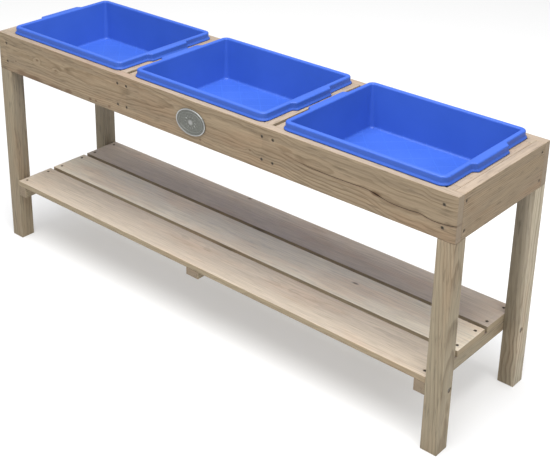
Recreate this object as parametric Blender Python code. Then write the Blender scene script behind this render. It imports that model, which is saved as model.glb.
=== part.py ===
"""Outdoor sand and water table: a long timber frame with three lift-out plastic tubs and a slatted shelf.

Metres, +Z up. The origin is on the ground under the middle of the table. +X runs along the length,
and -Y is the front, where the badge is.
"""

import math

import bmesh
import bpy
from mathutils import Vector

# Whole table
LENGTH = 1.400
WIDTH = 0.356
HEIGHT = 0.599

# Timber sections
LEG = 0.040
BOARD = 0.021
RAIL_HEIGHT = 0.101
PLANK_THICKNESS = 0.0145
PLANK_GAP = 0.011
BATTEN_WIDTH = 0.027
BATTEN_HEIGHT = 0.029
MIDDLE_BATTEN_WIDTH = 0.039
MIDDLE_BATTEN_HEIGHT = 0.019
SHELF_TOP = 0.177
EDGE_ROUNDING = 0.0006

# Openings for the tubs: three equal ones, parted by two pairs of boards
DIVIDER_GAP = 0.0095
TOUCH_GAP = 0.0003

# Tubs: their rims overhang the openings and rest on the boards
TUB_LENGTH = 0.4115
TUB_WIDTH = 0.3265
TUB_RIM_ABOVE_FRAME = 0.0193
TUB_RIM_WIDTH = 0.0155
TUB_RIM_ROUNDING = 0.004
TUB_DEPTH = 0.105
TUB_WALL = 0.0025
TUB_DRAFT = 0.007
TUB_CORNER = 0.020
TUB_INNER_CORNER = 0.006
TUB_FLOOR_FILLET = 0.006
TUB_SKIRT_WALL = 0.0022
TUB_SKIRT_FLARE = 0.0035
HANDLE_REACH = 0.0105
HANDLE_HALF_LENGTH = 0.058
HANDLE_END_SLOPE = 0.008

# Countersunk wood screws
SCREW_SIDES = 10
SCREW_HEAD_RADIUS = 0.0037
SCREW_SHANK_RADIUS = 0.0019
DIVIDER_SCREW_LENGTH = 0.045
LEG_SCREW_LENGTH = 0.036
PLANK_SCREW_LENGTH = 0.034
SCREW_SUNK = 0.0012
SCREW_CONE = 0.0028
SOCKET_RADIUS = 0.0016
SOCKET_DEPTH = 0.0016
HOLE_CLEARANCE = 0.0003

# Where the screws sit
DIVIDER_SCREW_SPREAD = 0.027
LEG_SCREW_SPREAD = 0.025
END_SCREW_SPREAD = 0.0325
PLANK_SCREW_INSET = 0.019

# Leg bolts, sunk in a round counterbore
BOLT_SIDES = 12
BOLT_HEAD_RADIUS = 0.0052
BOLT_HEAD_HEIGHT = 0.004
BOLT_SHANK_RADIUS = 0.003
BOLT_LENGTH = 0.052
BOLT_SUNK = 0.0025
COUNTERBORE_RADIUS = 0.0068
BOLT_FROM_LEG_INNER_FACE = 0.0085

# Badge
BADGE_WIDTH = 0.091
BADGE_HEIGHT = 0.064
BADGE_THICKNESS = 0.003
BADGE_DROP = 0.0015
BADGE_SHIFT = 0.002
BADGE_POINTS = 32
BADGE_RIM = 0.005

# Worked out from the sizes above
HALF_LENGTH = LENGTH / 2
HALF_WIDTH = WIDTH / 2
RAIL_BOTTOM = HEIGHT - RAIL_HEIGHT
RAIL_MIDDLE = HEIGHT - RAIL_HEIGHT / 2
RAIL_INNER_Y = HALF_WIDTH - BOARD
TONGUE = LEG - BOARD
OPENING_LENGTH = (LENGTH - 4 * BOARD - 4 * BOARD - 2 * DIVIDER_GAP) / 3
OPENING_PITCH = OPENING_LENGTH + 2 * BOARD + DIVIDER_GAP
OPENING_WIDTH = 2 * RAIL_INNER_Y
PLANK_WIDTH = (WIDTH - 2 * PLANK_GAP) / 3
PLANK_PITCH = PLANK_WIDTH + PLANK_GAP
SHELF_HALF_LENGTH = HALF_LENGTH - LEG
PLANK_BOTTOM = SHELF_TOP - PLANK_THICKNESS
END_BATTEN_X = SHELF_HALF_LENGTH - BATTEN_WIDTH / 2
BOLT_Z = PLANK_BOTTOM - BATTEN_HEIGHT / 2

SIDES = {"left": -1, "right": 1}
FACES = {"front": -1, "back": 1}
LEVELS = {"upper": 1, "lower": -1}
INWARD = {"front": (0, 1, 0), "back": (0, -1, 0), "left": (1, 0, 0), "right": (-1, 0, 0)}
DOWN = (0, 0, -1)


def clear_scene():
    for item in list(bpy.data.objects):
        bpy.data.objects.remove(item, do_unlink=True)


def make_material(name, color, roughness, metallic=0.0):
    material = bpy.data.materials.new(name)
    material.use_nodes = True
    shader = material.node_tree.nodes["Principled BSDF"]
    shader.inputs["Base Color"].default_value = (*color, 1.0)
    shader.inputs["Roughness"].default_value = roughness
    shader.inputs["Metallic"].default_value = metallic
    material.diffuse_color = (*color, 1.0)
    return material


def add_object(name, mesh, material=None, location=(0, 0, 0)):
    item = bpy.data.objects.new(name, mesh)
    item.location = location
    bpy.context.scene.collection.objects.link(item)
    if material and not mesh.materials:
        mesh.materials.append(material)
    return item


def box_bmesh(size, centre=(0, 0, 0)):
    """A box as a bmesh, its faces pointing out."""
    bm = bmesh.new()
    bmesh.ops.create_cube(bm, size=1.0)
    bmesh.ops.scale(bm, vec=size, verts=bm.verts)
    bmesh.ops.translate(bm, vec=centre, verts=bm.verts)
    return bm


def mesh_from(bm, name):
    mesh = bpy.data.meshes.new(name)
    bm.to_mesh(mesh)
    bm.free()
    return mesh


def board(name, low, high, material, cutters=(), rounding=EDGE_ROUNDING):
    """A sawn board between two corners, with eased edges and its screw holes."""
    low = Vector(low)
    high = Vector(high)
    bm = box_bmesh(high - low)
    item = add_object(name, mesh_from(bm, name), material, (low + high) / 2)
    round_edges(item, rounding)
    drill(item, cutters)
    return item


def round_edges(item, width):
    bevel = item.modifiers.new("eased edges", "BEVEL")
    bevel.width = width
    bevel.segments = 1
    bevel.limit_method = "ANGLE"


def drill(item, cutters):
    """Cut the holes that the cutter objects hold."""
    for cutter in cutters:
        cut = item.modifiers.new(cutter.name, "BOOLEAN")
        cut.operation = "DIFFERENCE"
        cut.solver = "EXACT"
        cut.object = cutter


def turned_bmesh(profile, sides):
    """Turn a profile of (radius, height) points, top to bottom, about Z. End points lie on the axis."""
    bm = bmesh.new()
    rings = []
    for radius, height in profile:
        if radius == 0:
            rings.append([bm.verts.new((0, 0, height))])
            continue
        ring = []
        for step in range(sides):
            angle = 2 * math.pi * step / sides
            ring.append(bm.verts.new((radius * math.cos(angle), radius * math.sin(angle), height)))
        rings.append(ring)
    for upper, lower in zip(rings, rings[1:]):
        for step in range(sides):
            after = (step + 1) % sides
            corners = [upper[step % len(upper)], lower[step % len(lower)]]
            if len(lower) > 1:
                corners.append(lower[after])
            if len(upper) > 1:
                corners.append(upper[after])
            bm.faces.new(corners)
    bmesh.ops.recalc_face_normals(bm, faces=bm.faces)
    return bm


def screw_mesh(length):
    """A countersunk screw pointing down -Z, the timber's surface at height 0."""
    top = -SCREW_SUNK
    neck = top - SCREW_CONE
    profile = [
        (0, top - SOCKET_DEPTH),
        (SOCKET_RADIUS, top - SOCKET_DEPTH),
        (SOCKET_RADIUS, top),
        (SCREW_HEAD_RADIUS, top),
        (SCREW_SHANK_RADIUS, neck),
        (SCREW_SHANK_RADIUS, top - length + 2 * SCREW_SHANK_RADIUS),
        (0, top - length),
    ]
    mesh = mesh_from(turned_bmesh(profile, SCREW_SIDES), "screw")
    mesh.shade_smooth()
    mesh.set_sharp_from_angle(angle=math.radians(35))
    return mesh


def screw_hole_bmesh(length):
    """What a screw needs cut away: its own shape and a little room, open to the surface."""
    top = -SCREW_SUNK
    neck = top - SCREW_CONE
    profile = [
        (0, 0.004),
        (SCREW_HEAD_RADIUS + HOLE_CLEARANCE, 0.004),
        (SCREW_HEAD_RADIUS + HOLE_CLEARANCE, top - HOLE_CLEARANCE),
        (SCREW_SHANK_RADIUS + HOLE_CLEARANCE, neck - HOLE_CLEARANCE),
        (SCREW_SHANK_RADIUS + HOLE_CLEARANCE, top - length - HOLE_CLEARANCE),
        (0, top - length - HOLE_CLEARANCE),
    ]
    return turned_bmesh(profile, SCREW_SIDES)


def bolt_mesh():
    """A leg bolt with a socket head, pointing down -Z, the leg's face at height 0."""
    top = -BOLT_SUNK
    under = top - BOLT_HEAD_HEIGHT
    profile = [
        (0, top - 0.0025),
        (0.0026, top - 0.0025),
        (0.0026, top),
        (BOLT_HEAD_RADIUS - 0.001, top),
        (BOLT_HEAD_RADIUS, top - 0.001),
        (BOLT_HEAD_RADIUS, under),
        (BOLT_SHANK_RADIUS, under),
        (BOLT_SHANK_RADIUS, top - BOLT_LENGTH + BOLT_SHANK_RADIUS),
        (0, top - BOLT_LENGTH),
    ]
    mesh = mesh_from(turned_bmesh(profile, BOLT_SIDES), "leg bolt")
    mesh.shade_smooth()
    mesh.set_sharp_from_angle(angle=math.radians(35))
    return mesh


def bolt_hole_bmesh():
    """The counterbore and hole for a leg bolt."""
    under = -BOLT_SUNK - BOLT_HEAD_HEIGHT - HOLE_CLEARANCE
    end = -BOLT_SUNK - BOLT_LENGTH - HOLE_CLEARANCE
    profile = [
        (0, 0.004),
        (COUNTERBORE_RADIUS, 0.004),
        (COUNTERBORE_RADIUS, under),
        (BOLT_SHANK_RADIUS + HOLE_CLEARANCE, under),
        (BOLT_SHANK_RADIUS + HOLE_CLEARANCE, end),
        (0, end),
    ]
    return turned_bmesh(profile, BOLT_SIDES)


def aim(direction):
    """The rotation that points a fastener's tip along a direction."""
    return (-Vector(direction)).to_track_quat("Z", "Y")


def hole_cutter(name, hole, places, direction):
    """One hidden cutter holding a hole at each place."""
    turn = aim(direction).to_matrix()
    merged = bmesh.new()
    for place in places:
        single = hole.copy()
        bmesh.ops.rotate(single, cent=(0, 0, 0), matrix=turn, verts=single.verts)
        bmesh.ops.translate(single, vec=place, verts=single.verts)
        part = mesh_from(single, "hole")
        merged.from_mesh(part)
        bpy.data.meshes.remove(part)
    hole.free()
    cutter = add_object(name, mesh_from(merged, name))
    cutter.hide_render = True
    cutter.display_type = "WIRE"
    return cutter


def screw_cutter(name, places, length, direction):
    """The holes for a set of screws of one length."""
    return hole_cutter(name, screw_hole_bmesh(length), places.values(), direction)


def fasten(places, mesh, direction, material):
    """One fastener object at each named place, all sharing a mesh."""
    for name, place in places.items():
        item = add_object(name, mesh, material, place)
        item.rotation_mode = "QUATERNION"
        item.rotation_quaternion = aim(direction)


def leg_screw_places(face):
    """Name and place of each screw through a long rail into the tops of the legs."""
    places = {}
    for side, sx in SIDES.items():
        x = sx * (HALF_LENGTH - BOARD - TONGUE / 2)
        for level, sz in LEVELS.items():
            z = RAIL_MIDDLE + sz * LEG_SCREW_SPREAD
            places[f"{face}_rail_screw_{side}_leg_{level}"] = Vector((x, FACES[face] * HALF_WIDTH, z))
    return places


def divider_screw_places(face):
    """Name and place of each screw through a long rail into the ends of the divider boards."""
    places = {}
    for side, sx in SIDES.items():
        for which, x in divider_centres(sx).items():
            for level, sz in LEVELS.items():
                z = RAIL_MIDDLE + sz * DIVIDER_SCREW_SPREAD
                name = f"{face}_rail_screw_{side}_divider_{which}_{level}"
                places[name] = Vector((x, FACES[face] * HALF_WIDTH, z))
    return places


def divider_centres(sx):
    """X of the middle of the inner and outer divider board on one side."""
    inner = OPENING_LENGTH / 2 + BOARD / 2
    return {"inner": sx * inner, "outer": sx * (inner + BOARD + DIVIDER_GAP)}


def end_screw_places(side):
    """Name and place of each screw through an end board into the tops of the legs."""
    places = {}
    y = RAIL_INNER_Y - TONGUE / 2
    for face, sy in FACES.items():
        for level, sz in LEVELS.items():
            z = RAIL_MIDDLE + sz * END_SCREW_SPREAD
            places[f"{side}_end_screw_{face}_{level}"] = Vector((SIDES[side] * HALF_LENGTH, sy * y, z))
    return places


def plank_screw_places(plank, y):
    """Name and place of the four screws that hold one plank to the end battens."""
    places = {}
    offset = PLANK_WIDTH / 2 - PLANK_SCREW_INSET
    for side, sx in SIDES.items():
        for face, sy in FACES.items():
            place = Vector((sx * END_BATTEN_X, y + sy * offset, SHELF_TOP))
            places[f"{plank}_plank_screw_{side}_{face}"] = place
    return places


def bolt_places(side):
    """Name and place of the two leg bolts at one end."""
    y = HALF_WIDTH - LEG + BOLT_FROM_LEG_INNER_FACE
    return {
        f"leg_bolt_{face}_{side}": Vector((SIDES[side] * HALF_LENGTH, sy * y, BOLT_Z))
        for face, sy in FACES.items()
    }


def make_leg(face, side, material, cutters):
    """A square leg, its top cut back on two sides so that the frame's boards lie flush with it."""
    sx = SIDES[side]
    sy = FACES[face]
    shoulder = RAIL_BOTTOM - TOUCH_GAP
    cut_back = BOARD + TOUCH_GAP
    outer = Vector((sx * HALF_LENGTH, sy * HALF_WIDTH))
    inner = outer - Vector((sx * LEG, sy * LEG))
    tongue = outer - Vector((sx * cut_back, sy * cut_back))
    outline = [
        (inner.x, inner.y), (outer.x, inner.y), (outer.x, outer.y), (inner.x, outer.y),
    ]
    top_outline = [
        (inner.x, inner.y), (tongue.x, inner.y), (tongue.x, tongue.y), (inner.x, tongue.y),
    ]
    centre = Vector(((inner.x + outer.x) / 2, (inner.y + outer.y) / 2, 0))
    bm = bmesh.new()
    foot = [bm.verts.new(Vector((x, y, 0)) - centre) for x, y in outline]
    ledge = [bm.verts.new(Vector((x, y, shoulder)) - centre) for x, y in outline]
    root = [bm.verts.new(Vector((x, y, shoulder)) - centre) for x, y in top_outline[1:]]
    head = [bm.verts.new(Vector((x, y, HEIGHT)) - centre) for x, y in top_outline]
    bm.faces.new(foot)
    bm.faces.new(head)
    for step in range(4):
        after = (step + 1) % 4
        if step in (1, 2):
            bm.faces.new((foot[step], foot[after], ledge[after], ledge[step]))
    # The two inner sides run straight up to the head
    bm.faces.new((foot[0], foot[1], ledge[1], root[0], head[1], head[0]))
    bm.faces.new((foot[3], foot[0], head[0], head[3], root[2], ledge[3]))
    bm.faces.new((root[0], root[1], head[2], head[1]))
    bm.faces.new((root[1], root[2], head[3], head[2]))
    bm.faces.new((ledge[1], ledge[2], root[1], root[0]))
    bm.faces.new((ledge[2], ledge[3], root[2], root[1]))
    bmesh.ops.recalc_face_normals(bm, faces=bm.faces)
    name = f"leg_{face}_{side}"
    leg = add_object(name, mesh_from(bm, name), material, centre)
    round_edges(leg, EDGE_ROUNDING)
    drill(leg, cutters)
    return leg


def tub_outline(half_x, half_y, corner, bulge):
    """A rounded rectangle, anticlockwise from +X, with its short sides pushed out at the handles."""
    slope_start = HANDLE_HALF_LENGTH + HANDLE_END_SLOPE
    points = []
    handle = [
        (half_x, -slope_start), (half_x + bulge, -HANDLE_HALF_LENGTH),
        (half_x + bulge, HANDLE_HALF_LENGTH), (half_x, slope_start),
    ]
    points += handle
    points += corner_points(half_x, half_y, corner, 0)
    points += corner_points(-half_x, half_y, corner, 1)
    points += [(-x, -y) for x, y in handle]
    points += corner_points(-half_x, -half_y, corner, 2)
    points += corner_points(half_x, -half_y, corner, 3)
    return points


def corner_points(x, y, radius, quarter, steps=5):
    """The arc of one rounded corner of an outline."""
    centre_x = x - math.copysign(radius, x)
    centre_y = y - math.copysign(radius, y)
    points = []
    for step in range(steps + 1):
        angle = math.pi / 2 * (quarter + step / steps)
        points.append((centre_x + radius * math.cos(angle), centre_y + radius * math.sin(angle)))
    return points


def tub_station(half, offset, corner, height, bulge=0.0):
    """One level of a tub: its outline, pushed out or in by an offset, and its height."""
    return tub_outline(half.x + offset, half.y + offset, corner + offset, bulge), height


def tub_mesh():
    """A drafted tub with a rolled rim, a hanging skirt and a handle at each short side.

    Height 0 is the top of the timber frame.
    """
    top = TUB_RIM_ABOVE_FRAME
    rim = Vector((TUB_LENGTH / 2, TUB_WIDTH / 2))
    mouth = rim - Vector((TUB_RIM_WIDTH, TUB_RIM_WIDTH))
    foot = mouth - Vector((TUB_DRAFT, TUB_DRAFT))
    floor = top - TUB_DEPTH
    fillet = TUB_FLOOR_FILLET
    rounding = TUB_RIM_ROUNDING
    flare = TUB_SKIRT_FLARE
    stations = [
        # The inside: floor, fillet, walls and the rim's inner edge
        tub_station(foot, -fillet, TUB_INNER_CORNER + fillet, floor),
        tub_station(foot, -0.3 * fillet, TUB_INNER_CORNER + fillet, floor + 0.3 * fillet),
        tub_station(foot, 0, TUB_INNER_CORNER, floor + fillet),
        tub_station(mouth, 0, TUB_INNER_CORNER, top - rounding),
        tub_station(mouth, 0.3 * rounding, TUB_INNER_CORNER, top - 0.3 * rounding),
        tub_station(mouth, rounding, TUB_INNER_CORNER, top),
        # The rim's outer edge and the skirt, which flares to its foot
        tub_station(rim, -flare - rounding, TUB_CORNER, top, HANDLE_REACH),
        tub_station(rim, -flare - 0.3 * rounding, TUB_CORNER, top - 0.3 * rounding, HANDLE_REACH),
        tub_station(rim, -flare, TUB_CORNER, top - rounding, HANDLE_REACH),
        tub_station(rim, 0, TUB_CORNER, TOUCH_GAP, HANDLE_REACH),
        # Back up inside the skirt, and down the outside of the walls
        tub_station(rim, -TUB_SKIRT_WALL, TUB_CORNER, TOUCH_GAP, HANDLE_REACH),
        tub_station(rim, -flare - TUB_SKIRT_WALL, TUB_CORNER, top - rounding, HANDLE_REACH),
        tub_station(rim, -flare - rounding, TUB_CORNER, top - TUB_WALL, HANDLE_REACH),
        tub_station(mouth, rounding, TUB_INNER_CORNER, top - TUB_WALL),
        tub_station(mouth, TUB_WALL, TUB_INNER_CORNER, top - rounding),
        tub_station(foot, TUB_WALL, TUB_INNER_CORNER, floor + 0.6 * fillet),
        tub_station(foot, -0.4 * fillet, TUB_INNER_CORNER + fillet, floor - TUB_WALL),
    ]
    bm = bmesh.new()
    rings = []
    for outline, height in stations:
        rings.append([bm.verts.new((x, y, height)) for x, y in outline])
    count = len(rings[0])
    for lower, upper in zip(rings, rings[1:]):
        for step in range(count):
            after = (step + 1) % count
            bm.faces.new((lower[step], lower[after], upper[after], upper[step]))
    bm.faces.new(rings[0])
    bm.faces.new(rings[-1])
    bmesh.ops.recalc_face_normals(bm, faces=bm.faces)
    mesh = mesh_from(bm, "tub")
    mesh.shade_smooth()
    mesh.set_sharp_from_angle(angle=math.radians(40))
    return mesh


def badge_mesh():
    """An oval plate facing -Y, its back at 0, with a raised rim round a shallow dished field."""
    stations = [
        # inset from the outline, height above the back
        (0, 0), (0, BADGE_THICKNESS - 0.001), (0.001, BADGE_THICKNESS),
        (BADGE_RIM - 0.001, BADGE_THICKNESS), (BADGE_RIM, BADGE_THICKNESS - 0.001),
    ]
    bm = bmesh.new()
    rings = []
    for inset, height in stations:
        ring = []
        for step in range(BADGE_POINTS):
            angle = 2 * math.pi * step / BADGE_POINTS
            x = (BADGE_WIDTH / 2 - inset) * math.cos(angle)
            z = (BADGE_HEIGHT / 2 - inset) * math.sin(angle)
            ring.append(bm.verts.new((x, -height, z)))
        rings.append(ring)
    for lower, upper in zip(rings, rings[1:]):
        for step in range(BADGE_POINTS):
            after = (step + 1) % BADGE_POINTS
            bm.faces.new((lower[step], lower[after], upper[after], upper[step]))
    bm.faces.new(rings[0])
    bm.faces.new(rings[-1])
    bmesh.ops.recalc_face_normals(bm, faces=bm.faces)
    return mesh_from(bm, "badge")


def make_frame(wood, cutters):
    """The long rails, the end boards, the inner end boards and the two pairs of divider boards."""
    for face, sy in FACES.items():
        low_y, high_y = sorted((sy * HALF_WIDTH, sy * RAIL_INNER_Y))
        board(f"{face}_rail", (-HALF_LENGTH, low_y, RAIL_BOTTOM), (HALF_LENGTH, high_y, HEIGHT),
              wood, [cutters[f"{face}_legs"], cutters[f"{face}_dividers"]])
    reach = RAIL_INNER_Y - TOUCH_GAP
    inner_reach = RAIL_INNER_Y - TONGUE - 2 * TOUCH_GAP
    divider_cutters = [cutters["front_dividers"], cutters["back_dividers"]]
    for side, sx in SIDES.items():
        low_x, high_x = sorted((sx * HALF_LENGTH, sx * (HALF_LENGTH - BOARD)))
        board(f"end_board_{side}", (low_x, -reach, RAIL_BOTTOM), (high_x, reach, HEIGHT),
              wood, [cutters[f"{side}_end"]])
        low_x, high_x = sorted((sx * (HALF_LENGTH - BOARD - TOUCH_GAP), sx * (HALF_LENGTH - 2 * BOARD)))
        board(f"inner_end_board_{side}", (low_x, -inner_reach, RAIL_BOTTOM), (high_x, inner_reach, HEIGHT),
              wood)
        for which, x in divider_centres(sx).items():
            board(f"divider_board_{side}_{which}", (x - BOARD / 2, -reach, RAIL_BOTTOM),
                  (x + BOARD / 2, reach, HEIGHT), wood, divider_cutters)


def make_shelf(wood, cutters):
    """Three planks on two battens bolted between the legs, and one batten under their middle."""
    top = PLANK_BOTTOM - TOUCH_GAP
    holes = [cutters["planks"]]
    for side, sx in SIDES.items():
        outer = SHELF_HALF_LENGTH - TOUCH_GAP
        low_x, high_x = sorted((sx * outer, sx * (outer - BATTEN_WIDTH)))
        board(f"shelf_batten_{side}", (low_x, -HALF_WIDTH, top - BATTEN_HEIGHT), (high_x, HALF_WIDTH, top),
              wood, holes + [cutters[f"{side}_bolts"]])
    half = MIDDLE_BATTEN_WIDTH / 2
    board("shelf_batten_middle", (-half, -HALF_WIDTH, top - MIDDLE_BATTEN_HEIGHT), (half, HALF_WIDTH, top),
          wood)
    for plank, y in plank_rows().items():
        end = SHELF_HALF_LENGTH - TOUCH_GAP
        board(f"shelf_plank_{plank}", (-end, y - PLANK_WIDTH / 2, PLANK_BOTTOM),
              (end, y + PLANK_WIDTH / 2, SHELF_TOP), wood, holes)


def plank_rows():
    return {"front": -PLANK_PITCH, "middle": 0.0, "back": PLANK_PITCH}


def make_tubs(plastic):
    mesh = tub_mesh()
    for which, place in {"left": -1, "middle": 0, "right": 1}.items():
        add_object(f"tub_{which}", mesh, plastic, (place * OPENING_PITCH, 0, HEIGHT))


def main():
    clear_scene()
    wood = make_material("impregnated pine", (0.42, 0.35, 0.25), 0.75)
    plastic = make_material("blue plastic", (0.05, 0.16, 0.70), 0.40)
    zinc = make_material("zinc plated steel", (0.30, 0.28, 0.24), 0.45, 1.0)
    silver = make_material("silver badge metal", (0.62, 0.63, 0.64), 0.30, 1.0)

    leg_screws = {face: leg_screw_places(face) for face in FACES}
    divider_screws = {face: divider_screw_places(face) for face in FACES}
    end_screws = {side: end_screw_places(side) for side in SIDES}
    bolts = {side: bolt_places(side) for side in SIDES}
    plank_screws = {}
    for plank, y in plank_rows().items():
        plank_screws.update(plank_screw_places(plank, y))

    cutters = {"planks": screw_cutter("plank_holes", plank_screws, PLANK_SCREW_LENGTH, DOWN)}
    for face in FACES:
        inward = INWARD[face]
        cutters[f"{face}_legs"] = screw_cutter(
            f"{face}_leg_holes", leg_screws[face], LEG_SCREW_LENGTH, inward)
        cutters[f"{face}_dividers"] = screw_cutter(
            f"{face}_divider_holes", divider_screws[face], DIVIDER_SCREW_LENGTH, inward)
    for side in SIDES:
        inward = INWARD[side]
        cutters[f"{side}_end"] = screw_cutter(
            f"{side}_end_holes", end_screws[side], LEG_SCREW_LENGTH, inward)
        cutters[f"{side}_bolts"] = hole_cutter(
            f"{side}_bolt_holes", bolt_hole_bmesh(), bolts[side].values(), inward)

    for face in FACES:
        for side in SIDES:
            make_leg(face, side, wood,
                     [cutters[f"{face}_legs"], cutters[f"{side}_end"], cutters[f"{side}_bolts"]])
    make_frame(wood, cutters)
    make_shelf(wood, cutters)
    make_tubs(plastic)

    # The back rail has the same holes as the front one, but its screws have no node of their own
    short_screw = screw_mesh(LEG_SCREW_LENGTH)
    fasten(leg_screws["front"], short_screw, INWARD["front"], zinc)
    fasten(divider_screws["front"], screw_mesh(DIVIDER_SCREW_LENGTH), INWARD["front"], zinc)
    bolt = bolt_mesh()
    for side in SIDES:
        fasten(end_screws[side], short_screw, INWARD[side], zinc)
        fasten(bolts[side], bolt, INWARD[side], zinc)
    fasten(plank_screws, screw_mesh(PLANK_SCREW_LENGTH), DOWN, zinc)

    badge_place = (BADGE_SHIFT, -HALF_WIDTH - TOUCH_GAP, RAIL_MIDDLE - BADGE_DROP)
    add_object("badge", badge_mesh(), silver, badge_place)


main()
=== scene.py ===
"""The looks of an outdoor sand and water table: knotty timber, blue tubs, steel screws and a badge."""

import math

import bmesh
import bpy
from mathutils import Matrix, Vector


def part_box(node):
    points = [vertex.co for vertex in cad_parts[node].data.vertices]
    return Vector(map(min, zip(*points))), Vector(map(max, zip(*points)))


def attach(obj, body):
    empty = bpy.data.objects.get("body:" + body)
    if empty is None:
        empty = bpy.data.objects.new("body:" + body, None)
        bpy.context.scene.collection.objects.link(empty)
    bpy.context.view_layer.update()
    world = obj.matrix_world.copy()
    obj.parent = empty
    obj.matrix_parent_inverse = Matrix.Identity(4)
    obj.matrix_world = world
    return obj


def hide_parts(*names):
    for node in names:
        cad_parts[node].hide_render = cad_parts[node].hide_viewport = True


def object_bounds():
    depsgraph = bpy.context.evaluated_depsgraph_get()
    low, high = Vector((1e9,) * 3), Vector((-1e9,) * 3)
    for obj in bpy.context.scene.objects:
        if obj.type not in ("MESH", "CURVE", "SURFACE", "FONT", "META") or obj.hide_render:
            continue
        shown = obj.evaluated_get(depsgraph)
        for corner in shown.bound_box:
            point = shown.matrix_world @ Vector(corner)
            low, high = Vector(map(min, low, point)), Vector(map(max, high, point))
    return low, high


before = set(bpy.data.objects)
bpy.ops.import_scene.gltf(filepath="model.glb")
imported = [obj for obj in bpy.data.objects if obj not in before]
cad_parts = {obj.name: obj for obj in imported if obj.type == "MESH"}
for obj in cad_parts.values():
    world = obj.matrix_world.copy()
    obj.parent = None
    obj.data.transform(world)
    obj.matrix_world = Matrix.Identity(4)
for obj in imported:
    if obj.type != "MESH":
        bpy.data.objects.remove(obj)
cad_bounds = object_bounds()

TABLE = "table"
LOW = cad_bounds[0]
FRAME_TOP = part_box("front_rail")[1].z
FRONT_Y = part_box("front_rail")[0].y

# Soft edges on the sawn boards
BOARD_EDGE = 0.0003

# The gap that stands in for contact, as in the CAD
TOUCH_GAP = 0.0003

# The tubs, in metres; their places and overall sizes come from the frame
RIM_WIDTH = 0.0155
RIM_ROUNDING = 0.004
TUB_DEPTH = 0.105
TUB_WALL = 0.0025
TUB_DRAFT = 0.007
TUB_CORNER = 0.020
TUB_INNER_CORNER = 0.006
FLOOR_FILLET = 0.006
SKIRT_WALL = 0.0022
SKIRT_FLARE = 0.0035
SKIRT_ROUNDING = 0.0018
SKIRT_LIP = 0.0035
HANDLE_REACH = 0.0105
HANDLE_HALF_LENGTH = 0.058
HANDLE_END_LENGTH = 0.012

# Fasteners
SCREW_HEAD_RADIUS = 0.0037
SCREW_SHANK_RADIUS = 0.0019
SCREW_CONE = 0.0028
RECESS_DEPTH = 0.0016
BOLT_HEAD_RADIUS = 0.0052
BOLT_HEAD_HEIGHT = 0.004
BOLT_SHANK_RADIUS = 0.003
BOLT_SOCKET_RADIUS = 0.0028
BATTEN_SCREW_RADIUS = 0.004
BATTEN_SCREW_HEIGHT = 0.0014
BATTEN_SCREW_OFFSET = 0.008
BATTEN_SCREW_SPREAD = 0.022

# Badge
BADGE_RIM = 0.0030
BADGE_DISH = 0.0014
BADGE_ROUNDING = 0.001
SUN_RADIUS = 0.0095
SUN_HEIGHT = 0.0010
SUN_RAYS = 12
RAY_START = 0.0118
RAY_END = 0.0185
RAY_HALF_WIDTH = 0.0013
RAY_HEIGHT = 0.0008


# ---------------------------------------------------------------- camera, light and floor


def add_camera():
    data = bpy.data.cameras.new("camera")
    data.lens = 74.50
    data.sensor_width = 36
    data.shift_x = 0.04545
    data.shift_y = -0.23455
    camera = bpy.data.objects.new("camera", data)
    camera.location = (1.6562, -1.8635, 1.5684)
    camera.rotation_euler = [math.radians(angle) for angle in (67.722, -0.623, 41.504)]
    bpy.context.scene.collection.objects.link(camera)
    bpy.context.scene.camera = camera


def add_area_light(name, place, target, size, power):
    data = bpy.data.lights.new(name, "AREA")
    data.shape = "DISK"
    data.size = size
    data.energy = power
    light = bpy.data.objects.new(name, data)
    light.location = place
    aim = Vector(target) - Vector(place)
    light.rotation_euler = aim.to_track_quat("-Z", "Y").to_euler()
    bpy.context.scene.collection.objects.link(light)


def add_stage():
    world = bpy.data.worlds.new("studio")
    world.use_nodes = True
    background = world.node_tree.nodes["Background"]
    background.inputs["Color"].default_value = (1.0, 1.0, 1.0, 1.0)
    tree = world.node_tree
    height = add(tree, "SeparateXYZ", {0: add(tree, "TexCoord").outputs["Generated"]}).outputs["Z"]
    tree.links.new(smooth_step(tree, height, 0.0, 0.9, 0.22, 0.80), background.inputs["Strength"])
    bpy.context.scene.world = world
    add_area_light("overhead softbox", (0.4, -0.6, 3.2), (0, 0, 0.3), 2.8, 150)
    add_area_light("right softbox", (3.2, -0.8, 2.4), (0.3, 0, 0.3), 1.8, 16)

    bm = bmesh.new()
    bmesh.ops.create_grid(bm, x_segments=1, y_segments=1, size=14)
    floor = new_object("studio_floor", bm)
    floor.location.z = -0.0005
    material, tree, shader = new_material("studio floor")
    shader.inputs["Base Color"].default_value = (0.55, 0.55, 0.55, 1)
    shader.inputs["Roughness"].default_value = 0.9
    shader.inputs["Emission Color"].default_value = (1.0, 1.0, 1.0, 1)
    shader.inputs["Emission Strength"].default_value = 0.36
    floor.data.materials.append(material)
    bpy.context.scene.view_settings.view_transform = "Standard"


# ---------------------------------------------------------------- small helpers


def new_object(name, bm, smooth_angle=None):
    mesh = bpy.data.meshes.new(name)
    bm.to_mesh(mesh)
    bm.free()
    if smooth_angle is not None:
        mesh.shade_smooth()
        mesh.set_sharp_from_angle(angle=math.radians(smooth_angle))
    piece = bpy.data.objects.new(name, mesh)
    bpy.context.scene.collection.objects.link(piece)
    return piece


def new_material(name):
    material = bpy.data.materials.new(name)
    material.use_nodes = True
    tree = material.node_tree
    return material, tree, tree.nodes["Principled BSDF"]


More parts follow.
